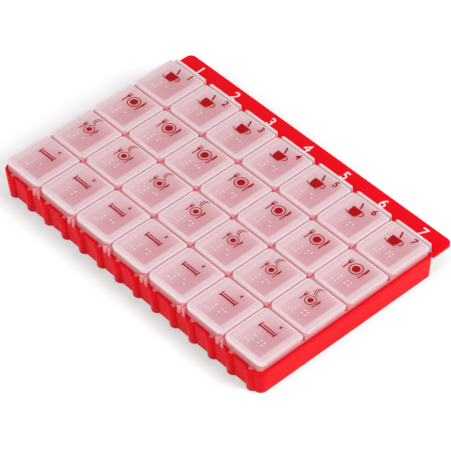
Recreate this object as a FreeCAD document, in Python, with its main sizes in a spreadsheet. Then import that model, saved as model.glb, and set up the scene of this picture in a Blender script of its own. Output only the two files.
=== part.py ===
import FreeCAD, Part
import os
import re
import Sketcher

# Weekly pill organizer: a red tray with a waved front wall holds seven day strips side by side.
# Each strip lifts out and has four compartments, each closed by its own hinged lid.
# Frame: +X runs across the days, +Y points to the header, +Z is up.
# The origin is under the middle of the object, on the surface that it stands on.

SIZES = {
    # counts and overall layout
    "day_count": 7,
    "meal_count": 4,
    "overall_height": 21.9,
    "draft_angle": 3.5,
    "inside_draft": 1,
    "eighth_turn": 45,
    # tray, its header plate behind the back wall, and the waves of its front wall
    "rim_height": 15.1,
    "tray_wall": 1.6,
    "tray_floor": 1.8,
    "tray_corner": 5,
    "header_depth": 13.8,
    "header_thickness": 1.8,
    "header_corner": 4,
    "wave_radius": 3.6,
    "wave_reach": 2,
    "divider_height": 5,
    "strip_clearance": 0.3,
    # day strip
    "strip_width": 28.2,
    "strip_gap": 2.8,
    "strip_wall": 1.2,
    "strip_floor": 1.2,
    "strip_front_margin": 0.8,
    "strip_corner": 1.6,
    "rod_radius": 1,
    # lid
    "lid_length": 30.85,
    "lid_thickness": 1.4,
    "lid_corner": 4,
    "lid_side_gap": 0.7,
    "lid_row_gap": 0.8,
    "lid_back_overhang": 0.5,
    "bead_width": 1.2,
    "bead_height": 0.3,
    "catch_depth": 1.5,
    "catch_width": 1.2,
    "hook_foot_angle": 45,
    # fits between lid and strip
    "hinge_clearance": 0.1,
    "swing_clearance": 0.15,
    "hook_side_clearance": 0.25,
    "catch_clearance": 0.35,
    # how far a cut runs past the surface that it opens
    "overrun": 1,
}

# Sizes that follow from the ones above.
DERIVED = {
    "strip_pitch": "strip_width + strip_gap",
    "meal_pitch": "lid_length + lid_row_gap",
    "octagon_share": "tan(eighth_turn / 2)",
    "rod_slant": "rod_radius * cos(eighth_turn)",
    "hook_inner": "rod_radius + hinge_clearance",
    "hook_outer": "hook_inner + lid_thickness",
    "hook_sweep": "hook_outer + swing_clearance",
    "axis_height": "overall_height - bead_height - hook_outer",
    "strip_height": "axis_height + hook_inner - tray_floor",
    "hollow_depth": "rim_height - tray_floor",
    "hollow_lean": "hollow_depth * tan(inside_draft)",
    "strip_length": "meal_count * meal_pitch + strip_front_margin - row_wall_front",
    "strip_half": "strip_width / 2",
    "mouth_half": "strip_half - strip_wall",
    "strip_axis_back": "lid_back_overhang - hook_outer",
    "strip_axis_height": "axis_height - tray_floor",
    "row_wall_front": "lid_back_overhang + swing_clearance",
    "row_wall_back": "row_wall_front + strip_wall",
    "first_day": "-(day_count - 1) / 2 * strip_pitch",
    "inner_half": "(day_count - 1) / 2 * strip_pitch + strip_half + strip_clearance + hollow_lean",
    "outer_half": "inner_half + tray_wall",
    "tray_depth": "strip_length + 2 * (strip_clearance + hollow_lean + tray_wall)",
    "overall_depth": "wave_reach + tray_depth + header_depth",
    "header_back": "overall_depth / 2",
    "back_outer": "header_back - header_depth",
    "back_inner": "back_outer - tray_wall",
    "front_outer": "back_outer - tray_depth",
    "front_inner": "front_outer + tray_wall",
    "strips_back": "back_inner - hollow_lean - strip_clearance",
    "wave_pitch": "strip_pitch / 2",
    "wave_first": "-day_count / 2 * strip_pitch + wave_pitch / 2",
    "wave_centre": "front_outer + wave_radius - wave_reach",
    "wave_half": "sqrt(wave_radius ^ 2 - (wave_radius - wave_reach) ^ 2)",
    "groove_radius": "wave_radius - tray_wall",
    "key_radius": "groove_radius - strip_clearance",
    "key_centre": "wave_centre - strips_back",
    "divider_half": "strip_gap / 2 - strip_clearance",
    "lid_half": "(strip_pitch - lid_side_gap) / 2",
    "lid_front": "hook_outer - lid_length",
    "hook_half": "mouth_half - hook_side_clearance",
    "hook_foot_back": "hook_outer * cos(hook_foot_angle)",
    "hook_foot_drop": "hook_outer * sin(hook_foot_angle)",
    "nib_front": "-hook_inner * sin(hook_foot_angle)",
    "nib_drop": "-hook_inner * cos(hook_foot_angle)",
    "catch_half": "mouth_half - catch_clearance",
    "catch_front": "hook_sweep + strip_wall + catch_clearance - meal_pitch",
}

MEALS = ("breakfast", "lunch", "dinner", "bedtime")

doc = FreeCAD.newDocument("pill_organizer")
sheet = doc.addObject("Spreadsheet::Sheet", "Sizes")
for row, (alias, amount) in enumerate(SIZES.items(), start=1):
    sheet.set("A%d" % row, alias)
    sheet.set("B%d" % row, str(amount))
    sheet.setAlias("B%d" % row, alias)
doc.recompute()


def formula(rule):
    """Spell a rule out in the sheet's own cells."""

    def spell(match):
        word = match.group(0)
        if word in DERIVED:
            return "(" + formula(DERIVED[word]) + ")"
        return "Sizes." + word if word in SIZES else word

    return re.sub(r"[a-z][a-z_]*", spell, rule)


def number(rule):
    result = sheet.evalExpression(formula(rule))
    return float(getattr(result, "Value", result))


def origin_feature(body, role):
    return next(item for item in body.Origin.OriginFeatures if item.Role == role)


def box_outline(left, right, front, back, front_corner=None, back_corner=None, rounded=True):
    """Counterclockwise rectangle whose corners may be rounded, or else cut off straight."""
    corners = (
        (right, front, "-", "+", front_corner),
        (right, back, "-", "-", back_corner),
        (left, back, "+", "-", back_corner),
        (left, front, "+", "+", front_corner),
    )
    points = []
    for index, (x, y, x_in, y_in, corner) in enumerate(corners):
        if corner is None:
            points.append((x, y))
            continue
        centre_x = "%s %s %s" % (x, x_in, corner)
        centre_y = "%s %s %s" % (y, y_in, corner)
        ends = [(centre_x, y), (x, centre_y)]
        if index in (1, 3):
            ends.reverse()
        points.append(ends[0])
        points.append(ends[1] + ((centre_x, centre_y, 1) if rounded else ()))
    return points


def half_octagon(x, y, radius):
    """Front half of an upright octagonal bar round (x, y), open towards +Y."""
    share = radius + " * octagon_share"
    return [
        (x + " - " + radius, y),
        (x + " - " + radius, y + " - " + share),
        (x + " - " + share, y + " - " + radius),
        (x + " + " + share, y + " - " + radius),
        (x + " + " + radius, y + " - " + share),
        (x + " + " + radius, y),
    ]


def sketch_on(body, name, plane, lift, points):
    """Closed sketch on one of the body's own planes, raised by lift.

    A point is (x, y), or (x, y, centre x, centre y, turn) where an arc arrives at it:
    turn is 1 for a counterclockwise arc and -1 for a clockwise one.
    """
    sketch = body.newObject("Sketcher::SketchObject", name)
    sketch.AttachmentSupport = (origin_feature(body, plane), [""])
    sketch.MapMode = "FlatFace"
    sketch.setExpression(".AttachmentOffset.Base.z", formula(lift))
    add_outline(sketch, points)
    return sketch


def add_outline(sketch, points):
    """Draw each edge at its size, join the ends and tie every point to the sheet."""
    first = sketch.GeometryCount
    places = [FreeCAD.Vector(number(point[0]), number(point[1]), 0) for point in points]
    arrivals = []
    for index, point in enumerate(points):
        start = places[index - 1]
        end = places[index]
        if len(point) == 2:
            sketch.addGeometry(Part.LineSegment(start, end), False)
            arrivals.append(2)
            continue
        centre = FreeCAD.Vector(number(point[2]), number(point[3]), 0)
        circle = Part.Circle(centre, FreeCAD.Vector(0, 0, 1), centre.distanceToPoint(end))
        span = (start, end) if point[4] > 0 else (end, start)
        angles = [circle.parameter(place) for place in span]
        if angles[1] <= angles[0]:
            angles[1] += circle.LastParameter
        sketch.addGeometry(Part.ArcOfCircle(circle, *angles), False)
        arrivals.append(2 if point[4] > 0 else 1)
    for index, point in enumerate(points):
        edge = first + index
        after = (index + 1) % len(points)
        departure = 3 - arrivals[after]
        sketch.addConstraint(
            Sketcher.Constraint("Coincident", edge, arrivals[index], first + after, departure)
        )
        tie(sketch, ("DistanceX", -1, 1, edge, arrivals[index]), point[0])
        tie(sketch, ("DistanceY", -1, 1, edge, arrivals[index]), point[1])
        if len(point) > 2:
            chord = places[index] - places[index - 1]
            across = abs(chord.x) > abs(chord.y)
            tie(sketch, ("DistanceY" if across else "DistanceX", -1, 1, edge, 3), point[3 if across else 2])


def tie(sketch, what, rule):
    order = sketch.addConstraint(Sketcher.Constraint(*what, number(rule)))
    sketch.setExpression("Constraints[%d]" % order, formula(rule))


def extrude(body, kind, name, sketch, length, taper=None, lean=False, both=False, down=False):
    """Pad or Pocket of a sketch. A leaning one goes down from the rim along the drafted front."""
    feature = body.newObject("PartDesign::" + kind, name)
    feature.Profile = sketch
    feature.setExpression("Length", formula(length))
    if taper:
        feature.setExpression("TaperAngle", formula(taper))
    if both:
        feature.SideType = "Symmetric"
    if lean:
        feature.UseCustomVector = True
        feature.AlongSketchNormal = True
        feature.Direction = FreeCAD.Vector(0, number("tan(draft_angle)"), -1)
        feature.setExpression(".Direction.y", formula("tan(draft_angle)"))
    feature.Reversed = down
    body.Tip = feature
    doc.recompute()
    return feature


def repeat(body, name, feature, role, pitch, count, backward=False):
    pattern = body.newObject("PartDesign::LinearPattern", name)
    pattern.Originals = [feature]
    pattern.Direction = (origin_feature(body, role), [""])
    pattern.setExpression("Length", formula("(%s - 1) * %s" % (count, pitch)))
    pattern.setExpression("Occurrences", formula(count))
    pattern.Reversed = backward
    body.Tip = pattern
    doc.recompute()
    return pattern


def make_tray():
    """Drafted shell with a flat header, a waved front wall and low dividers between strips."""
    body = doc.addObject("PartDesign::Body", "tray")
    shell = sketch_on(
        body, "shell_outline", "XY_Plane", "rim_height",
        box_outline("-outer_half", "outer_half", "front_outer", "back_outer", "tray_corner", "tray_corner"),
    )
    extrude(body, "Pad", "shell", shell, "rim_height", taper="-draft_angle", down=True)

    wave_outline = [
        ("wave_first - wave_half", "front_outer"),
        ("wave_first + wave_half", "front_outer", "wave_first", "wave_centre", 1),
        ("wave_first + wave_half", "wave_centre"),
        ("wave_first - wave_half", "wave_centre"),
    ]
    wave_sketch = sketch_on(body, "wave_outline", "XY_Plane", "rim_height", wave_outline)
    wave = extrude(body, "Pad", "wave", wave_sketch, "rim_height", lean=True)
    repeat(body, "waves", wave, "X_Axis", "wave_pitch", "2 * day_count")

    header = sketch_on(
        body, "header_outline", "XY_Plane", "rim_height",
        box_outline("-outer_half", "outer_half", "back_inner", "header_back", None, "header_corner"),
    )
    extrude(body, "Pad", "header", header, "header_thickness", down=True)

    hollow = sketch_on(
        body, "hollow_outline", "XY_Plane", "rim_height",
        box_outline(
            "-inner_half", "inner_half", "front_inner", "back_inner",
            "(tray_corner - tray_wall)", "(tray_corner - tray_wall)",
        ),
    )
    extrude(body, "Pocket", "hollow", hollow, "hollow_depth", taper="-inside_draft")

    groove_outline = half_octagon("wave_first", "wave_centre", "groove_radius")
    groove_outline[0] = (groove_outline[0][0], "front_inner + overrun")
    groove_outline[-1] = (groove_outline[-1][0], "front_inner + overrun")
    groove_sketch = sketch_on(body, "groove_outline", "XY_Plane", "rim_height", groove_outline)
    groove = extrude(body, "Pocket", "groove", groove_sketch, "hollow_depth")
    repeat(body, "grooves", groove, "X_Axis", "wave_pitch", "2 * day_count")

    divider_x = "first_day + strip_pitch / 2"
    divider_sketch = sketch_on(
        body, "divider_outline", "XY_Plane", "tray_floor",
        box_outline(
            divider_x + " - divider_half", divider_x + " + divider_half",
            "front_inner + rim_height", "back_inner - rim_height",
        ),
    )
    divider = extrude(
        body, "Pad", "divider", divider_sketch, "divider_height", taper="-draft_angle"
    )
    repeat(body, "dividers", divider, "X_Axis", "strip_pitch", "day_count - 1")
    return body


def make_strip_form():
    """One day strip: four open compartments in a row, with keys that fit the tray's waves.

    Local frame: x = 0 in the middle, y = 0 at the back face, z = 0 at the underside.
    """
    body = doc.addObject("PartDesign::Body", "strip_form")
    outline = sketch_on(
        body, "strip_outline", "XY_Plane", "0",
        box_outline(
            "-strip_half", "strip_half", "-strip_length", "0", "strip_corner", "strip_corner", rounded=False
        ),
    )
    extrude(body, "Pad", "block", outline, "strip_height")

    key_x = "-wave_pitch / 2"
    key_outline = half_octagon(key_x, "key_centre", "key_radius")
    key_outline[0] = (key_outline[0][0], "strip_wall - strip_length")
    key_outline[-1] = (key_outline[-1][0], "strip_wall - strip_length")
    key_sketch = sketch_on(body, "key_outline", "XY_Plane", "0", key_outline)
    key = extrude(body, "Pad", "key", key_sketch, "hollow_depth")
    repeat(body, "keys", key, "X_Axis", "wave_pitch", "2")

    pocket_depth = "strip_height - strip_floor"
    back_pocket = sketch_on(
        body, "back_pocket_outline", "XY_Plane", "strip_height",
        box_outline(
            "-mouth_half", "mouth_half", "row_wall_back - meal_pitch", "-strip_wall",
        ),
    )
    extrude(body, "Pocket", "back_pocket", back_pocket, pocket_depth)
    row_pocket = sketch_on(
        body, "row_pocket_outline", "XY_Plane", "strip_height",
        box_outline(
            "-mouth_half", "mouth_half", "row_wall_back - 2 * meal_pitch", "row_wall_front - meal_pitch",
        ),
    )
    pocket = extrude(body, "Pocket", "row_pocket", row_pocket, pocket_depth)
    repeat(body, "row_pockets", pocket, "Y_Axis", "meal_pitch", "meal_count - 1", backward=True)

    # Behind each rod the side walls are notched, so that the lid's back edge can swing down.
    notch_sketch = sketch_on(
        body, "notch_outline", "YZ_Plane", "0",
        box_outline(
            "strip_axis_back", "row_wall_front",
            "strip_axis_height - hook_sweep", "strip_height + overrun",
        ),
    )
    notch = extrude(
        body, "Pocket", "notch", notch_sketch, "strip_width + 2 * overrun", both=True
    )
    repeat(body, "notches", notch, "Y_Axis", "meal_pitch", "meal_count", backward=True)

    turns = ("rod_radius", "rod_slant", "0", "-rod_slant", "-rod_radius", "-rod_slant", "0", "rod_slant")
    rod_outline = [
        ("strip_axis_back + " + turns[step], "strip_axis_height + " + turns[step - 2])
        for step in range(len(turns))
    ]
    rod_sketch = sketch_on(body, "rod_outline", "YZ_Plane", "0", rod_outline)
    rod = extrude(body, "Pad", "rod", rod_sketch, "2 * mouth_half", both=True)
    repeat(body, "rods", rod, "Y_Axis", "meal_pitch", "meal_count", backward=True)
    return body


def make_lid_form():
    """One lid: a plate whose back edge curls into a hook round the strip's rod.

    Local frame: the origin is the middle of the hinge axis, which runs along X.
    """
    body = doc.addObject("PartDesign::Body", "lid_form")
    plate = sketch_on(
        body, "plate_outline", "XY_Plane", "hook_inner",
        box_outline("-lid_half", "lid_half", "lid_front", "hook_outer", "lid_corner", "lid_corner"),
    )
    extrude(body, "Pad", "plate", plate, "lid_thickness")

    # The top of the back edge is round about the hinge axis, so it turns within its own gap.
    round_outline = [
        ("hook_outer + overrun", "0"),
        ("hook_outer + overrun", "hook_outer + overrun"),
        ("0", "hook_outer + overrun"),
        ("0", "hook_outer"),
        ("hook_outer", "0", "0", "0", -1),
    ]
    round_sketch = sketch_on(body, "round_outline", "YZ_Plane", "0", round_outline)
    extrude(body, "Pocket", "round_back", round_sketch, "2 * lid_half + 2 * overrun", both=True)

    hook_outline = [
        ("0", "hook_inner"),
        ("hook_inner", "hook_inner"),
        ("hook_inner", "-hook_inner"),
        ("0", "-hook_inner"),
        ("nib_front", "nib_drop"),
        ("nib_front", "-hook_foot_drop"),
        ("hook_foot_back", "-hook_foot_drop"),
        ("hook_outer", "0"),
        ("0", "hook_outer", "0", "0", 1),
    ]
    hook_sketch = sketch_on(body, "hook_outline", "YZ_Plane", "0", hook_outline)
    extrude(body, "Pad", "hook", hook_sketch, "2 * hook_half", both=True)

    catch_sketch = sketch_on(
        body, "catch_outline", "XY_Plane", "hook_inner",
        box_outline("-catch_half", "catch_half", "catch_front", "catch_front + catch_width"),
    )
    extrude(body, "Pad", "catch", catch_sketch, "catch_depth", down=True)

    # A fingernail catches under the front edge; the bead along it keeps the finger from slipping.
    bead_sketch = sketch_on(
        body, "bead_outline", "XY_Plane", "hook_outer",
        box_outline(
            "lid_corner - lid_half", "lid_half - lid_corner",
            "lid_front + bead_height", "lid_front + bead_height + bead_width",
        ),
    )
    extrude(body, "Pad", "bead", bead_sketch, "bead_height")
    return body


def place(form, name, x, y, z):
    """A piece made to one of the forms, set at its own place."""
    piece = doc.addObject("PartDesign::Body", name)
    piece.BaseFeature = form
    for axis, rule in (("x", x), ("y", y), ("z", z)):
        piece.setExpression(".Placement.Base." + axis, formula(rule))
    return piece


pieces = [make_tray()]
strip_form = make_strip_form()
lid_form = make_lid_form()
for day in range(SIZES["day_count"]):
    day_x = "first_day + %d * strip_pitch" % day
    pieces.append(place(strip_form, "day_strip_%d" % (day + 1), day_x, "strips_back", "tray_floor"))
    for row, meal in enumerate(MEALS):
        lid_y = "strips_back + strip_axis_back - %d * meal_pitch" % row
        pieces.append(place(lid_form, "lid_%d_%s" % (day + 1, meal), day_x, lid_y, "axis_height"))
doc.recompute()

for item in doc.Objects:
    faults = {"Invalid", "Error"} & set(item.State)
    if faults:
        raise RuntimeError("%s is %s" % (item.Label, ", ".join(sorted(faults))))
for form in (pieces[0], strip_form, lid_form):
    for step in form.Group:
        if step.TypeId not in ("PartDesign::Pad", "PartDesign::Pocket") or step.BaseFeature is None:
            continue
        change = step.Shape.Volume - step.BaseFeature.Shape.Volume
        if change <= 0 if step.TypeId == "PartDesign::Pad" else change >= 0:
            raise RuntimeError("%s in %s changes nothing" % (step.Label, form.Label))

os.makedirs("parts", exist_ok=True)
for piece in pieces:
    if piece.Shape.isNull() or not piece.Shape.isValid():
        raise RuntimeError(piece.Label + " is not a sound solid")
    piece.Shape.exportStep("parts/%s.step" % piece.Label)
print("%d pieces" % len(pieces))
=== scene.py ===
import math
import bmesh
import bpy
from mathutils import Matrix, Vector


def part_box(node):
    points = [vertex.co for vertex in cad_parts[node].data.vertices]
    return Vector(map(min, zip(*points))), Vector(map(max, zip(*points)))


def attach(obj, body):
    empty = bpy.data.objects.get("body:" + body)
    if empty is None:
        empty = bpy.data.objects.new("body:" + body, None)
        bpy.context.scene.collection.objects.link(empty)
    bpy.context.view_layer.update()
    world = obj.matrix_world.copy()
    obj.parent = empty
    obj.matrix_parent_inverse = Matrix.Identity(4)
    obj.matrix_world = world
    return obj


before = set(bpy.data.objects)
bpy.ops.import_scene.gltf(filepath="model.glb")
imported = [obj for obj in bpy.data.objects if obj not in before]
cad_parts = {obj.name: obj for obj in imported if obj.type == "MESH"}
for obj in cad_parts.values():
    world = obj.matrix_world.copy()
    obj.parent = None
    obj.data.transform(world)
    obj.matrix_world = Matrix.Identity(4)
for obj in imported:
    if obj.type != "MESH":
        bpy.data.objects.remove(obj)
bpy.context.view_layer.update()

# Tray: one red polypropylene moulding with a waved front wall and a plain header plate
# flush with its rim. The mould leaves soft edges and a fine satin skin.
MM = 0.001
RED = (0.86, 0.0, 0.010, 1)
DEEP_RED = (0.76, 0.0, 0.007, 1)
BOUNCE = (0.34, 0.24, 0.24, 1)
RED_SPECULAR = 0.07
TRAY_EDGE = 0.35 * MM
EDGE_STEPS = 2
SHARPEST = math.radians(35)
WELD_GAP = 0.002 * MM
PATCH_DETAIL = 3
PATCH_RANGE = (0.3, 0.7)
GRAIN_DETAIL = 5
GRAIN_STRENGTH = 0.35


def moulded_skin():
    """Node group: slow change of tone, patchy gloss and fine grain of a moulded plastic."""
    group = bpy.data.node_groups.new("moulded skin", "ShaderNodeTree")
    for label, kind in (
        ("Tone", "NodeSocketColor"),
        ("Second Tone", "NodeSocketColor"),
        ("Patch Scale", "NodeSocketFloat"),
        ("Grain Scale", "NodeSocketFloat"),
        ("Smoothest", "NodeSocketFloat"),
        ("Roughest", "NodeSocketFloat"),
    ):
        group.interface.new_socket(label, in_out="INPUT", socket_type=kind)
    for label, kind in (
        ("Color", "NodeSocketColor"),
        ("Roughness", "NodeSocketFloat"),
        ("Height", "NodeSocketFloat"),
    ):
        group.interface.new_socket(label, in_out="OUTPUT", socket_type=kind)
    nodes, links = group.nodes, group.links
    given = nodes.new("NodeGroupInput")
    out = nodes.new("NodeGroupOutput")
    place = nodes.new("ShaderNodeTexCoord")
    patches = nodes.new("ShaderNodeTexNoise")
    patches.inputs["Detail"].default_value = PATCH_DETAIL
    grain = nodes.new("ShaderNodeTexNoise")
    grain.inputs["Detail"].default_value = GRAIN_DETAIL
    links.new(place.outputs["Object"], patches.inputs["Vector"])
    links.new(place.outputs["Object"], grain.inputs["Vector"])
    links.new(given.outputs["Patch Scale"], patches.inputs["Scale"])
    links.new(given.outputs["Grain Scale"], grain.inputs["Scale"])
    tone = nodes.new("ShaderNodeMix")
    tone.data_type = "RGBA"
    links.new(patches.outputs["Fac"], tone.inputs["Factor"])
    links.new(given.outputs["Tone"], tone.inputs["A"])
    links.new(given.outputs["Second Tone"], tone.inputs["B"])
    links.new(tone.outputs["Result"], out.inputs["Color"])
    gloss = nodes.new("ShaderNodeMapRange")
    gloss.inputs["From Min"].default_value = PATCH_RANGE[0]
    gloss.inputs["From Max"].default_value = PATCH_RANGE[1]
    links.new(patches.outputs["Fac"], gloss.inputs["Value"])
    links.new(given.outputs["Smoothest"], gloss.inputs["To Min"])
    links.new(given.outputs["Roughest"], gloss.inputs["To Max"])
    links.new(gloss.outputs["Result"], out.inputs["Roughness"])
    links.new(grain.outputs["Fac"], out.inputs["Height"])
    return group


skin_group = moulded_skin()


def plastic(name, tone, second_tone, patch_scale, grain_scale, smoothest, roughest, grain_depth):
    """Material with the moulded skin; returns it with its Principled shader."""
    material = bpy.data.materials.new(name)
    material.use_nodes = True
    nodes, links = material.node_tree.nodes, material.node_tree.links
    shader = nodes["Principled BSDF"]
    skin = nodes.new("ShaderNodeGroup")
    skin.node_tree = skin_group
    for label, value in (
        ("Tone", tone),
        ("Second Tone", second_tone),
        ("Patch Scale", patch_scale),
        ("Grain Scale", grain_scale),
        ("Smoothest", smoothest),
        ("Roughest", roughest),
    ):
        skin.inputs[label].default_value = value
    bump = nodes.new("ShaderNodeBump")
    bump.inputs["Strength"].default_value = GRAIN_STRENGTH
    bump.inputs["Distance"].default_value = grain_depth
    links.new(skin.outputs["Color"], shader.inputs["Base Color"])
    links.new(skin.outputs["Roughness"], shader.inputs["Roughness"])
    links.new(skin.outputs["Height"], bump.inputs["Height"])
    links.new(bump.outputs["Normal"], shader.inputs["Normal"])
    return material, shader


def dress(thing, material, edge):
    """Give a moulding its material, and soften its sharp edges by a small bevel."""
    thing.data.materials.clear()
    thing.data.materials.append(material)
    weld = thing.modifiers.new("weld", "WELD")
    weld.merge_threshold = WELD_GAP
    soft = thing.modifiers.new("soft edges", "BEVEL")
    soft.width = edge
    soft.segments = EDGE_STEPS
    soft.limit_method = "ANGLE"
    soft.angle_limit = SHARPEST
    soft.harden_normals = True


red_plastic, red_shader = plastic(
    "red satin plastic", RED, DEEP_RED, patch_scale=14, grain_scale=2600,
    smoothest=0.36, roughest=0.48, grain_depth=0.02 * MM,
)
red_shader.inputs["Specular IOR Level"].default_value = RED_SPECULAR
# The light that the red throws on the floor and the strips is kept nearly neutral, which
# keeps the floor white. Real red plastic tints what is near it.
red_nodes, red_links = red_plastic.node_tree.nodes, red_plastic.node_tree.links
ray = red_nodes.new("ShaderNodeLightPath")
thrown = red_nodes.new("ShaderNodeMix")
thrown.data_type = "RGBA"
thrown.inputs["B"].default_value = BOUNCE
red_links.new(ray.outputs["Is Diffuse Ray"], thrown.inputs["Factor"])
red_links.new(red_shader.inputs["Base Color"].links[0].from_socket, thrown.inputs["A"])
red_links.new(thrown.outputs["Result"], red_shader.inputs["Base Color"])
dress(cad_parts["tray"], red_plastic, TRAY_EDGE)

# Rim: the tray's end walls and waved front wall end in a raised rim, moulded in one with them.
# Its inside follows the grooves that the strips' keys slide in.
DAYS = range(1, 8)
DAY_PITCH = 31 * MM
RIM_RISE = 1.4 * MM
TRAY_WALL = 1.6 * MM
TRAY_CORNER = 5 * MM
WAVE_RADIUS = 3.6 * MM
WAVE_REACH = 2 * MM
CORNER_STEPS = 6
WAVE_STEPS = 8


def piece_from(bm, name, material):
    """Object of a finished bmesh, with its material."""
    mesh = bpy.data.meshes.new(name)
    bm.to_mesh(mesh)
    bm.free()
    mesh.materials.append(material)
    piece = bpy.data.objects.new(name, mesh)
    bpy.context.scene.collection.objects.link(piece)
    return piece


def upright_bar(bm, outline, bottom, top):
    """Solid of a flat outline, between two heights."""
    face = bm.faces.new([bm.verts.new((x, y, bottom)) for x, y in outline])
    raised = bmesh.ops.extrude_face_region(bm, geom=[face], use_keep_orig=True)["geom"]
    corners = [item for item in raised if isinstance(item, bmesh.types.BMVert)]
    bmesh.ops.translate(bm, vec=(0, 0, top - bottom), verts=corners)


def arc(x, y, radius, start, end, steps):
    """Points along an arc, between two turns in degrees."""
    turns = [math.radians(start + (end - start) * step / steps) for step in range(steps + 1)]
    return [(x + radius * math.cos(turn), y + radius * math.sin(turn)) for turn in turns]


low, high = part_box("tray")
rim_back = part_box("day_strip_1")[1][1]
wave_y = low[1] + WAVE_RADIUS
corner_x, corner_y = high[0] - TRAY_CORNER, low[1] + WAVE_REACH + TRAY_CORNER
wave_foot = math.degrees(math.asin((WAVE_RADIUS - WAVE_REACH) / WAVE_RADIUS))
outer = [(-high[0], rim_back)]
outer += arc(-corner_x, corner_y, TRAY_CORNER, 180, 270, CORNER_STEPS)
inner = [(-high[0] + TRAY_WALL, rim_back)]
inner += arc(-corner_x, corner_y, TRAY_CORNER - TRAY_WALL, 180, 270, CORNER_STEPS)
for day in DAYS:
    left, right = (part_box("day_strip_%d" % day)[side][0] for side in (0, 1))
    for way in (-1, 1):
        wave_x = (left + right) / 2 + way * DAY_PITCH / 4
        outer += arc(wave_x, wave_y, WAVE_RADIUS, 180 + wave_foot, 360 - wave_foot, WAVE_STEPS)
        inner += arc(wave_x, wave_y, WAVE_RADIUS - TRAY_WALL, 180, 360, WAVE_STEPS)
outer += arc(corner_x, corner_y, TRAY_CORNER, 270, 360, CORNER_STEPS)
outer += [(high[0], rim_back)]
inner += arc(corner_x, corner_y, TRAY_CORNER - TRAY_WALL, 270, 360, CORNER_STEPS)
inner += [(high[0] - TRAY_WALL, rim_back)]
bm = bmesh.new()
upright_bar(bm, outer + inner[::-1], high[2], high[2] + RIM_RISE)
bmesh.ops.recalc_face_normals(bm, faces=bm.faces)
rim = piece_from(bm, "tray_rim", red_plastic)
dress(rim, red_plastic, TRAY_EDGE)
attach(rim, "tray")

# Day strips: seven troughs of frosted translucent polypropylene, each in four compartments.
# They stand loose in the tray, so each one rides on its own body and lifts out.
# The strips' pink is partly painted: frosted plastic tinted pink, standing in for the tray's red
# light coming through it.
MILK_AND_PAINTED_PINK = (0.84, 0.37, 0.40, 1)
SECOND_MILK_AND_PAINTED_PINK = (0.82, 0.34, 0.375, 1)
STRIP_ALPHA = 0.6
# Painted glow: a faint pink emission standing in for red light passing through the strips, which
# are no lamps.
STRIP_PAINTED_GLOW = (0.8, 0.2, 0.22, 1)
STRIP_PAINTED_GLOW_POWER = 0.16
FROSTED_SPECULAR = 0.4
STRIP_EDGE = 0.2 * MM

frosted, frosted_shader = plastic(
    "frosted polypropylene", MILK_AND_PAINTED_PINK, SECOND_MILK_AND_PAINTED_PINK, patch_scale=60, grain_scale=3000,
    smoothest=0.42, roughest=0.55, grain_depth=0.02 * MM,
)
frosted_shader.inputs["Specular IOR Level"].default_value = FROSTED_SPECULAR
frosted_shader.inputs["Alpha"].default_value = STRIP_ALPHA
frosted_shader.inputs["Emission Color"].default_value = STRIP_PAINTED_GLOW
frosted_shader.inputs["Emission Strength"].default_value = STRIP_PAINTED_GLOW_POWER

for day in DAYS:
    dress(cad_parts["day_strip_%d" % day], frosted, STRIP_EDGE)

# Collars: a ledge moulded along the top of each strip's side walls nearly closes the gap to
# the next strip. It is cut away behind each hinge, where the lids' back edges swing down.
MEALS = ("breakfast", "lunch", "dinner", "bedtime")
COLLAR_REACH = 0.9 * MM
COLLAR_HEIGHT = 4.8 * MM
STRIP_CORNER = 1.6 * MM
HINGE_ROUND = 2.5 * MM
SWING_GAP = 0.15 * MM

for day in DAYS:
    low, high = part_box("day_strip_%d" % day)
    lid_backs = [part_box("lid_%d_%s" % (day, meal))[1][1] for meal in MEALS]
    bm = bmesh.new()
    for wall, way in ((low[0], -1), (high[0], 1)):
        if day + way not in DAYS:
            continue
        reach = wall + way * COLLAR_REACH
        for lid_back, next_back in zip(lid_backs, lid_backs[1:]):
            behind, ahead = lid_back - HINGE_ROUND, next_back + SWING_GAP
            outline = ((wall, ahead), (reach, ahead), (reach, behind), (wall, behind))
            upright_bar(bm, outline, high[2] - COLLAR_HEIGHT, high[2])
        behind = lid_backs[-1] - HINGE_ROUND
        outline = (
            (wall, behind), (reach, behind), (reach, low[1] + COLLAR_REACH / 2),
            (reach - way * COLLAR_REACH / 2, low[1]), (wall - way * STRIP_CORNER, low[1]),
            (wall, low[1] + STRIP_CORNER),
        )
        upright_bar(bm, outline, high[2] - COLLAR_HEIGHT, high[2])
    bmesh.ops.recalc_face_normals(bm, faces=bm.faces)
    collar = piece_from(bm, "collar_%d" % day, frosted)
    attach(collar, "day_strip_%d" % day)

# Lids: frosted plates of the same plastic, each snapped over the rod of its compartment
# by the hook along its back edge. A low bead runs along the front edge.
# The plate is thinner in the middle, so more of the red floor shows through it there; the middle
# is also painted pinker, a painted glow standing in for the floor's red light.
BEAD = 0.3 * MM
MEAL_PITCH = 31.65 * MM
# The lids' pink is partly painted: frosted plastic tinted pink, standing in for the tray's red
# light coming through.
LID_MILK_AND_PAINTED_PINK = (0.78, 0.65, 0.68, 1)
SECOND_LID_MILK_AND_PAINTED_PINK = (0.76, 0.62, 0.655, 1)
# Painted glow: pinker tone painted on each lid's thin middle, standing in for red light from the
# floor below.
PAINTED_WINDOW_GLOW = (0.76, 0.42, 0.48, 1)
# Painted highlight: lighter tone painted along the lids' edges.
PAINTED_EDGE_TONE = (0.80, 0.69, 0.715, 1)
LID_PAINTED_GLOW = (0.8, 0.62, 0.66, 1)
LID_PAINTED_GLOW_POWER = 0.10
RIM_ALPHA = 0.65
WINDOW_ALPHA = 0.45
EDGE_ALPHA = 0.85
LID_EDGE = 0.25 * MM
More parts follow.
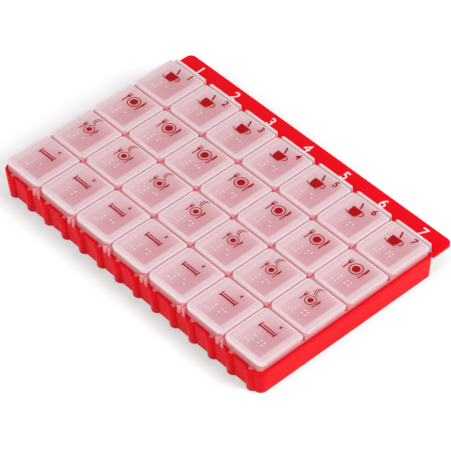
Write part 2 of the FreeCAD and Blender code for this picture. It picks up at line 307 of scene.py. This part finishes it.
# How strongly the thin middle, with its painted pink glow, and the painted lighter edge show,
# across the lid and from its front to its back, at distances from its middle in millimetres.
WINDOW_ACROSS = (
    (-11, 0), (-9, 0.4), (-5, 0.55), (1, 1), (9.1, 1),
    (10.3, 0.1), (11.5, 0), (14.9, 0), (15.1, 1),
)
WINDOW_ALONG = ((-13.6, 0), (-12.6, 0.8), (-8, 0.95), (3, 1), (9, 0.8), (12.2, 0.55), (13.4, 0))
EDGE_ACROSS = ((-14.8, 0.8), (-13.8, 0), (13.0, 0), (13.9, 0.8), (14.7, 0.6), (15.0, 0))
EDGE_ALONG = ((-15.0, 1), (-14.3, 0), (-13.8, 0.6), (-13.1, 0), (13.0, 0), (13.9, 1))


def on_lid(day, meal):
    """Middle of a lid's upper face."""
    low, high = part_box("lid_%d_%s" % (day, meal))
    return Vector(((low[0] + high[0]) / 2, (low[1] + high[1]) / 2, high[2] - BEAD))


lid_plastic, lid_shader = plastic(
    "frosted lid", LID_MILK_AND_PAINTED_PINK, SECOND_LID_MILK_AND_PAINTED_PINK, patch_scale=60, grain_scale=3000,
    smoothest=0.38, roughest=0.5, grain_depth=0.02 * MM,
)
lid_shader.inputs["Specular IOR Level"].default_value = FROSTED_SPECULAR
lid_nodes, lid_links = lid_plastic.node_tree.nodes, lid_plastic.node_tree.links
where = lid_nodes.new("ShaderNodeTexCoord")
apart = lid_nodes.new("ShaderNodeSeparateXYZ")
lid_links.new(where.outputs["Object"], apart.inputs["Vector"])
middle = on_lid(4, "dinner")


def strength(axis, centre, pitch, stops):
    """Value that follows the stops over each lid, along one of the object's axes."""
    offset = lid_nodes.new("ShaderNodeMath")
    offset.operation = "SUBTRACT"
    offset.inputs[1].default_value = centre
    local = lid_nodes.new("ShaderNodeMath")
    local.operation = "WRAP"
    local.inputs[1].default_value = pitch / 2
    local.inputs[2].default_value = -pitch / 2
    share = lid_nodes.new("ShaderNodeMapRange")
    share.inputs["From Min"].default_value = -pitch / 2
    share.inputs["From Max"].default_value = pitch / 2
    ramp = lid_nodes.new("ShaderNodeValToRGB")
    lid_links.new(apart.outputs[axis], offset.inputs[0])
    lid_links.new(offset.outputs["Value"], local.inputs[0])
    lid_links.new(local.outputs["Value"], share.inputs["Value"])
    lid_links.new(share.outputs["Result"], ramp.inputs["Fac"])
    steps = ramp.color_ramp.elements
    while len(steps) < len(stops):
        steps.new(0.5)
    for step, (distance, value) in zip(steps, stops):
        step.position = distance * MM / pitch + 0.5
        step.color = (value, value, value, 1)
    return ramp.outputs["Color"]


def joined(operation, first, second):
    """Two values made one by a Math node."""
    both = lid_nodes.new("ShaderNodeMath")
    both.operation = operation
    lid_links.new(first, both.inputs[0])
    lid_links.new(second, both.inputs[1])
    return both.outputs["Value"]


# Mask of the thin middle: it lowers the alpha there and carries the painted pink glow.
thin_middle_and_painted_glow = joined(
    "MULTIPLY",
    strength("X", middle.x, DAY_PITCH, WINDOW_ACROSS),
    strength("Y", middle.y, MEAL_PITCH, WINDOW_ALONG),
)
# Mask of the painted highlight along the lids' edges; it also makes the edges less see-through.
painted_edge_highlight = joined(
    "MAXIMUM",
    strength("X", middle.x, DAY_PITCH, EDGE_ACROSS),
    strength("Y", middle.y, MEAL_PITCH, EDGE_ALONG),
)
cover = lid_nodes.new("ShaderNodeMapRange")
cover.inputs["To Min"].default_value = RIM_ALPHA
cover.inputs["To Max"].default_value = WINDOW_ALPHA
lid_links.new(thin_middle_and_painted_glow, cover.inputs["Value"])
thick = lid_nodes.new("ShaderNodeMath")
thick.operation = "MULTIPLY_ADD"
thick.inputs[1].default_value = EDGE_ALPHA - RIM_ALPHA
lid_links.new(painted_edge_highlight, thick.inputs[0])
lid_links.new(cover.outputs["Result"], thick.inputs[2])
lid_links.new(thick.outputs["Value"], lid_shader.inputs["Alpha"])
tint = lid_shader.inputs["Base Color"].links[0].from_socket
for share, tone in ((painted_edge_highlight, PAINTED_EDGE_TONE), (thin_middle_and_painted_glow, PAINTED_WINDOW_GLOW)):
    blend = lid_nodes.new("ShaderNodeMix")
    blend.data_type = "RGBA"
    blend.inputs["B"].default_value = tone
    lid_links.new(share, blend.inputs["Factor"])
    lid_links.new(tint, blend.inputs["A"])
    tint = blend.outputs["Result"]
lid_links.new(tint, lid_shader.inputs["Base Color"])
# Painted glow: a faint pink emission standing in for light passing through the lids, which are no
# lamps.
lid_shader.inputs["Emission Color"].default_value = LID_PAINTED_GLOW
lid_shader.inputs["Emission Strength"].default_value = LID_PAINTED_GLOW_POWER

for day in DAYS:
    for meal in MEALS:
        dress(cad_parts["lid_%d_%s" % (day, meal)], lid_plastic, LID_EDGE)

# Front lips: the bedtime lids reach a little further forward than the others, over the
# strip's front wall, with the same rounded corners and moulded in one with the lid.
LID_CORNER = 4 * MM
LID_THICKNESS = 1.4 * MM
LIP_DEPTH = 1.6 * MM
CORNER_TURN = 15

for day in DAYS:
    low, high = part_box("lid_%d_bedtime" % day)
    outline = []
    for reach, ways in ((LIP_DEPTH, (-1, 1)), (0, (1, -1))):
        for way in ways:
            start = low[0] if way < 0 else high[0]
            turns = range(0, 91, CORNER_TURN)
            for turn in turns if (way < 0) == (reach > 0) else reversed(turns):
                across = start - way * LID_CORNER * (1 - math.cos(math.radians(turn)))
                along = low[1] + LID_CORNER * (1 - math.sin(math.radians(turn))) - reach
                outline.append((across, along))
    bm = bmesh.new()
    upright_bar(bm, outline, high[2] - BEAD - LID_THICKNESS, high[2] - BEAD)
    bmesh.ops.recalc_face_normals(bm, faces=bm.faces)
    lip = piece_from(bm, "lip_%d" % day, lid_plastic)
    dress(lip, lid_plastic, LID_EDGE)
    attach(lip, "lid_%d_bedtime" % day)

# Hinge guards: an upright ledge on the back of each strip closes the last row behind the
# breakfast lids. Its foot passes over the tray's rim, so it lifts out with the strip.
GUARD_HALF = 13.6 * MM
GUARD_GAP = 0.45 * MM
GUARD_BACK = 2.2 * MM
GUARD_CORNER = 1.0 * MM
GUARD_FOOT = 0.7 * MM
GUARD_HEIGHT = 6.1 * MM
GUARD_DROP = 0.2 * MM

for day in DAYS:
    strip_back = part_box("day_strip_%d" % day)[1][1]
    low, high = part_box("lid_%d_breakfast" % day)
    middle_x = (low[0] + high[0]) / 2
    face, back = high[1] + GUARD_GAP, strip_back + GUARD_BACK
    foot_bottom = high[2] - BEAD - GUARD_HEIGHT
    left, right = middle_x - GUARD_HALF, middle_x + GUARD_HALF
    bm = bmesh.new()
    wall = (
        (left, face), (right, face), (right, back - GUARD_CORNER), (right - GUARD_CORNER, back),
        (left + GUARD_CORNER, back), (left, back - GUARD_CORNER),
    )
    upright_bar(bm, wall, foot_bottom, high[2] - BEAD - GUARD_DROP)
    inside = (face + back) / 2
    foot = (
        (left + GUARD_CORNER, strip_back), (right - GUARD_CORNER, strip_back),
        (right - GUARD_CORNER, inside), (left + GUARD_CORNER, inside),
    )
    upright_bar(bm, foot, foot_bottom, foot_bottom + GUARD_FOOT)
    bmesh.ops.recalc_face_normals(bm, faces=bm.faces)
    guard = piece_from(bm, "hinge_guard_%d" % day, lid_plastic)
    dress(guard, lid_plastic, LID_EDGE)
    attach(guard, "day_strip_%d" % day)

# Raised dots: each lid has the day's number in tactile dots moulded on its front half, a number
# sign and then a figure, low domes of the lid's plastic. They are given a whiter tone than the lid
# so they show as pale points; the pink in it is painted red light from the tray.
DOT_PITCH = 2.5 * MM
CELL_PITCH = 7.5 * MM
DOT_RADIUS = 0.75 * MM
DOT_HEIGHT = 0.27 * MM
DOT_ROOT = 0.08 * MM
# Dot tone: whiter than the lid's; its pink is painted red light from the tray.
DOT_MILK_AND_PAINTED_PINK = (0.93, 0.80, 0.83, 1)
SECOND_DOT_MILK_AND_PAINTED_PINK = (0.91, 0.77, 0.80, 1)
DOT_ALPHA = 0.5
DOME_SIDES = 16
DOME_RINGS = 8
DOTS_LEFT = -6.1 * MM
DOTS_BACK = -4.0 * MM
NUMBER_SIGN = (3, 4, 5, 6)
FIGURES = ((1,), (1, 2), (1, 4), (1, 4, 5), (1, 5), (1, 2, 4), (1, 2, 4, 5))

milky, milky_shader = plastic(
    "milky polypropylene", DOT_MILK_AND_PAINTED_PINK, SECOND_DOT_MILK_AND_PAINTED_PINK, patch_scale=60, grain_scale=3000,
    smoothest=0.35, roughest=0.45, grain_depth=0.01 * MM,
)
milky_shader.inputs["Alpha"].default_value = DOT_ALPHA

dome = bmesh.new()
bmesh.ops.create_uvsphere(dome, u_segments=DOME_SIDES, v_segments=DOME_RINGS, radius=1)
bmesh.ops.bisect_plane(
    dome,
    geom=dome.verts[:] + dome.edges[:] + dome.faces[:],
    plane_co=(0, 0, 0),
    plane_no=(0, 0, -1),
    clear_outer=True,
)
bmesh.ops.holes_fill(dome, edges=[edge for edge in dome.edges if edge.is_boundary])
bmesh.ops.scale(dome, vec=(DOT_RADIUS, DOT_RADIUS, DOT_HEIGHT + DOT_ROOT), verts=dome.verts)
bmesh.ops.translate(dome, vec=(0, 0, -DOT_ROOT), verts=dome.verts)
for face in dome.faces:
    face.smooth = len(face.verts) < DOME_SIDES
dome_mesh = bpy.data.meshes.new("dome")
dome.to_mesh(dome_mesh)
dome.free()

for day in DAYS:
    for meal in MEALS:
        bm = bmesh.new()
        top = on_lid(day, meal)
        for cell, dots in enumerate((NUMBER_SIGN, FIGURES[day - 1])):
            for dot in dots:
                column, line = divmod(dot - 1, 3)
                across = DOTS_LEFT + cell * CELL_PITCH + column * DOT_PITCH
                before = len(bm.verts)
                bm.from_mesh(dome_mesh)
                place = top + Vector((across, DOTS_BACK - line * DOT_PITCH, 0))
                bmesh.ops.translate(bm, vec=place, verts=bm.verts[before:])
        dots_piece = piece_from(bm, "dots_%d_%s" % (day, meal), milky)
        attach(dots_piece, "lid_%d_%s" % (day, meal))

# Pictograms: flat dark red print on each lid, one sign for each meal and a bed for bedtime.
# The breakfast lids also carry the day's number in their back corner.
INK = (0.44, 0.0, 0.003, 1)
SECOND_INK = (0.37, 0.0, 0.002, 1)
INK_THICKNESS = 0.03 * MM
INK_SPECULAR = 0.1
FIGURE_SIZE = 6.3
FIGURE_BOLDNESS = 0.2
FIGURE_X = 5.5 * MM
FIGURE_Y = 10.9 * MM
UPPER_HORN = 50
LOWER_HORN = 306
BOW_STEPS = 8

ink, ink_shader = plastic(
    "dark red ink", INK, SECOND_INK, patch_scale=900, grain_scale=5000,
    smoothest=0.45, roughest=0.6, grain_depth=0.005 * MM,
)
ink_shader.inputs["Specular IOR Level"].default_value = INK_SPECULAR


def sharp(*points):
    """Outline with straight sides."""
    return ("VECTOR", points)


def circle(x, y, radius):
    """A circle through four points."""
    return ("AUTO", ((x + radius, y), (x, y + radius), (x - radius, y), (x, y - radius)))


def bar(left, bottom, right, top):
    """Upright rectangle."""
    return sharp((left, bottom), (right, bottom), (right, top), (left, top))


def spoke(turn):
    """Direction of a turn in degrees, one unit long."""
    return Vector((math.cos(math.radians(turn)), math.sin(math.radians(turn))))


def handle(x, y, outer, inner):
    """Half ring that stands out to the right."""
    turns = range(-80, 81, 20)
    points = [Vector((x, y)) + outer * spoke(turn) for turn in turns]
    points += [Vector((x, y)) + inner * spoke(-turn) for turn in turns]
    return ("VECTOR", [tuple(point) for point in points])


def crescent(x, y, radius, outer=1, inner=0.5, trim=0):
    """Crescent open to the right, between two shares of its bow's depth over its chord."""
    bows = []
    for step in range(BOW_STEPS + 1):
        share = trim + (1 - 2 * trim) * step / BOW_STEPS
        bows.append((share, spoke(UPPER_HORN + (LOWER_HORN - UPPER_HORN) * share)))
    upper, lower = spoke(UPPER_HORN), spoke(LOWER_HORN)
    points = []
    for depth, steps in ((outer, bows), (inner, bows[::-1])):
        for share, bow in steps:
            chord = upper.lerp(lower, share)
            points.append(tuple(Vector((x, y)) + radius * chord.lerp(bow, depth)))
    return ("VECTOR", points)


# Each sign is a list of filled parts, and each part is an outline with the holes in it.
SIGNS = {
    "breakfast": (
        (sharp((-6.6, 6.8), (-6.1, 1.9), (-5.2, 1.0), (-0.5, 1.0), (0.4, 1.9), (0.9, 6.8)),),
        (sharp((-8.1, 1.9), (-8.1, 1.2), (-5.6, 0.3), (-0.4, 0.3), (0.6, 0.98), (-5.4, 0.98)),),
        (handle(0.95, 4.4, 2.1, 1.3),),
        (sharp((-2.6, 7.2), (-1.6, 7.5), (-2.3, 9.5), (-3.7, 12.1), (-4.7, 11.7), (-3.4, 9.2)),),
    ),
    "lunch": (
        (circle(-1.6, 5.3, 4.3), circle(-1.6, 5.3, 3.6)),
        (circle(-1.6, 5.3, 2.5),),
        (sharp(
            (-8.1, 1.0), (-7.3, 1.0), (-7.25, 5.6), (-6.5, 6.6), (-6.4, 9.4),
            (-6.9, 9.4), (-7.0, 7.2), (-7.4, 7.2), (-7.45, 9.4), (-7.95, 9.4),
            (-8.0, 7.2), (-8.4, 7.2), (-8.5, 9.4), (-9.0, 9.4), (-8.9, 6.6), (-8.15, 5.6),
        ),),
        (sharp(
            (3.4, 1.0), (4.2, 1.0), (4.3, 5.0), (4.9, 6.0), (4.8, 8.8), (4.2, 10.0), (3.4, 10.0),
        ),),
    ),
    "dinner": (
        (circle(-1.9, 3.1, 3.5), circle(-1.9, 3.1, 2.9)),
        (circle(-1.9, 3.1, 1.75),),
        (sharp(
            (-7.2, -0.4), (-6.6, -0.4), (-6.55, 3.2), (-5.9, 4.0), (-5.8, 6.4),
            (-6.2, 6.4), (-6.3, 4.6), (-6.6, 4.6), (-6.7, 6.4), (-7.1, 6.4),
            (-7.2, 4.6), (-7.5, 4.6), (-7.6, 6.4), (-8.0, 6.4), (-7.9, 4.0), (-7.25, 3.2),
        ),),
        (sharp(
            (2.1, -0.4), (2.75, -0.4), (2.85, 2.9), (3.3, 3.6), (3.2, 5.7), (2.8, 6.5), (2.1, 6.5),
        ),),
        (
            crescent(-2.3, 10.4, 3.1, inner=0.60),
            crescent(-2.3, 10.4, 3.1, outer=0.87, inner=0.73, trim=0.12),
        ),
    ),
    "bedtime": (
        (bar(-8.0, 1.8, -7.1, 5.6),),
        (bar(-7.1, 2.4, 3.3, 3.5),),
        (bar(3.3, 1.8, 4.1, 5.6),),
        (bar(-6.5, 4.1, 2.7, 4.9),),
        (crescent(2.1, 9.7, 1.1, inner=0.3),),
    ),
}


def printed(name, curves, place, material):
    """Flat curves or text made one thin mesh, then put in its place."""
    bm = bmesh.new()
    for curve in curves:
        curve.fill_mode = "BOTH"
        curve.extrude = INK_THICKNESS / 2
        drawn = bpy.data.objects.new(name + "_line", curve)
        flat = bpy.data.meshes.new_from_object(drawn)
        bpy.data.objects.remove(drawn)
        bm.from_mesh(flat)
        bpy.data.meshes.remove(flat)
    bmesh.ops.translate(bm, vec=place, verts=bm.verts)
    return piece_from(bm, name, material)


def part_curve(shapes):
    """One filled part: an outline and its holes, in millimetres."""
    curve = bpy.data.curves.new("part", "CURVE")
    curve.dimensions = "2D"
    for handles, points in shapes:
        line = curve.splines.new("BEZIER")
        line.bezier_points.add(len(points) - 1)
        line.use_cyclic_u = True
        for knot, (x, y) in zip(line.bezier_points, points):
            knot.co = (x * MM, y * MM, 0)
            knot.handle_left_type = handles
            knot.handle_right_type = handles
    return curve


def words(text, height, boldness):
    """Centred line of text, with its height and boldness in millimetres."""
    curve = bpy.data.curves.new("figure", "FONT")
    curve.body = text
    curve.size = height * MM
    curve.offset = boldness * MM
    curve.align_x = "CENTER"
    curve.align_y = "CENTER"
    return curve


for day in DAYS:
    for meal in MEALS:
        place = on_lid(day, meal) + Vector((0, 0, INK_THICKNESS / 2))
        body = "lid_%d_%s" % (day, meal)
        parts = [part_curve(shapes) for shapes in SIGNS[meal]]
        sign = printed("sign_%d_%s" % (day, meal), parts, place, ink)
        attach(sign, body)
        if meal == "breakfast":
            corner = place + Vector((FIGURE_X, FIGURE_Y, 0))
            shape = words(str(day), FIGURE_SIZE, FIGURE_BOLDNESS)
            figure = printed("figure_%d" % day, [shape], corner, ink)
            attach(figure, body)

# Header numbers: large white figures, one for each day, printed flat on the header plate
# that stands out behind the tray's back wall.
WHITE_PRINT = (0.88, 0.80, 0.81, 1)
SECOND_WHITE_PRINT = (0.82, 0.73, 0.74, 1)
NUMBER_SIZE = 9.5
NUMBER_BOLDNESS = 0.06
NUMBER_Y = 66.7 * MM
HEADER_TOP = 15.1 * MM
NUMBER_SHIFT = -0.9 * MM

white_print, _ = plastic(
    "white print", WHITE_PRINT, SECOND_WHITE_PRINT, patch_scale=500, grain_scale=4000,
    smoothest=0.45, roughest=0.6, grain_depth=0.005 * MM,
)
for day in DAYS:
    low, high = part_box("day_strip_%d" % day)
    across = (low[0] + high[0]) / 2 + NUMBER_SHIFT
    place = Vector((across, NUMBER_Y, HEADER_TOP + INK_THICKNESS / 2))
    shape = words(str(day), NUMBER_SIZE, NUMBER_BOLDNESS)
    number = printed("number_%d" % day, [shape], place, white_print)
    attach(number, "tray")

# Setting: a seamless white floor, a pale sky all round and two soft lamps.
# The main lamp stands behind the right-hand end, so the waved front is a little darker.
FLOOR_REACH = 6
FLOOR_WHITE = (0.93, 0.93, 0.93, 1)
FLOOR_ROUGHNESS = 0.9
FLOOR_SPECULAR = 0.1
FLOOR_GLOW = 0.13
WHITE = (1, 1, 1, 1)
SKY_STRENGTH = 0.62
MAIN_PLACE, MAIN_SIZE, MAIN_POWER = (1.0, 0.35, 0.85), 0.6, 10
FILL_PLACE, FILL_SIZE, FILL_POWER = (-0.2, -1.1, 1.0), 0.9, 5

floor_mesh = bpy.data.meshes.new("floor")
bm = bmesh.new()
bmesh.ops.create_grid(bm, x_segments=1, y_segments=1, size=FLOOR_REACH)
bm.to_mesh(floor_mesh)
bm.free()
floor = bpy.data.objects.new("floor", floor_mesh)
bpy.context.scene.collection.objects.link(floor)
paper = bpy.data.materials.new("white paper")
paper.use_nodes = True
paper_nodes, paper_links = paper.node_tree.nodes, paper.node_tree.links
paper_shader = paper_nodes["Principled BSDF"]
paper_shader.inputs["Base Color"].default_value = FLOOR_WHITE
paper_shader.inputs["Roughness"].default_value = FLOOR_ROUGHNESS
paper_shader.inputs["Specular IOR Level"].default_value = FLOOR_SPECULAR
paper_shader.inputs["Emission Color"].default_value = WHITE
seen = paper_nodes.new("ShaderNodeLightPath")
lift = paper_nodes.new("ShaderNodeMath")
lift.operation = "MULTIPLY"
lift.inputs[1].default_value = FLOOR_GLOW
rays = seen.outputs["Is Camera Ray"]
for kind in ("Is Glossy Ray", "Is Transmission Ray"):
    either = paper_nodes.new("ShaderNodeMath")
    either.operation = "MAXIMUM"
    paper_links.new(rays, either.inputs[0])
    paper_links.new(seen.outputs[kind], either.inputs[1])
    rays = either.outputs["Value"]
paper_links.new(rays, lift.inputs[0])
paper_links.new(lift.outputs["Value"], paper_shader.inputs["Emission Strength"])
floor_mesh.materials.append(paper)

world = bpy.data.worlds.new("studio")
bpy.context.scene.world = world
world.use_nodes = True
sky = world.node_tree.nodes["Background"]
sky.inputs["Color"].default_value = WHITE
sky.inputs["Strength"].default_value = SKY_STRENGTH


def soft_lamp(name, place, size, power):
    """Square lamp that faces the middle of the part."""
    lamp = bpy.data.lights.new(name, "AREA")
    lamp.shape = "SQUARE"
    lamp.size = size
    lamp.energy = power
    holder = bpy.data.objects.new(name, lamp)
    bpy.context.scene.collection.objects.link(holder)
    holder.location = place
    holder.rotation_euler = (-Vector(place)).to_track_quat("-Z", "Y").to_euler()


soft_lamp("main lamp", MAIN_PLACE, MAIN_SIZE, MAIN_POWER)
soft_lamp("fill lamp", FILL_PLACE, FILL_SIZE, FILL_POWER)

# Camera: at the photograph's angle, about 1.4 metres from the part, with a long lens.
# The lens is given in pixels of the square frame, and turned to millimetres of its sensor.
AZIMUTH = math.radians(49.696)
ELEVATION = math.radians(45.267)
ROLL = math.radians(-2.346)
DISTANCE = 1.36712
AIM = Vector((0.017641, -0.012986, 0.0216))
FRAME_PIXELS = 451
LENS_PIXELS = 2469.1
SENSOR = 36
NEAREST = 0.05
FARTHEST = 20

back = Vector((
    math.sin(AZIMUTH) * math.cos(ELEVATION),
    -math.cos(AZIMUTH) * math.cos(ELEVATION),
    math.sin(ELEVATION),
))
right = Vector((math.cos(AZIMUTH), math.sin(AZIMUTH), 0))
up = back.cross(right)
turned_right = math.cos(ROLL) * right + math.sin(ROLL) * up
turned_up = -math.sin(ROLL) * right + math.cos(ROLL) * up
axes = Matrix((turned_right, turned_up, back)).transposed().to_4x4()
camera_data = bpy.data.cameras.new("camera")
camera_data.sensor_width = SENSOR
camera_data.lens = LENS_PIXELS * SENSOR / FRAME_PIXELS
camera_data.clip_start = NEAREST
camera_data.clip_end = FARTHEST
camera = bpy.data.objects.new("camera", camera_data)
bpy.context.scene.collection.objects.link(camera)
camera.matrix_world = Matrix.Translation(AIM + back * DISTANCE) @ axes
bpy.context.scene.camera = camera
bpy.context.scene.view_settings.view_transform = "Standard"
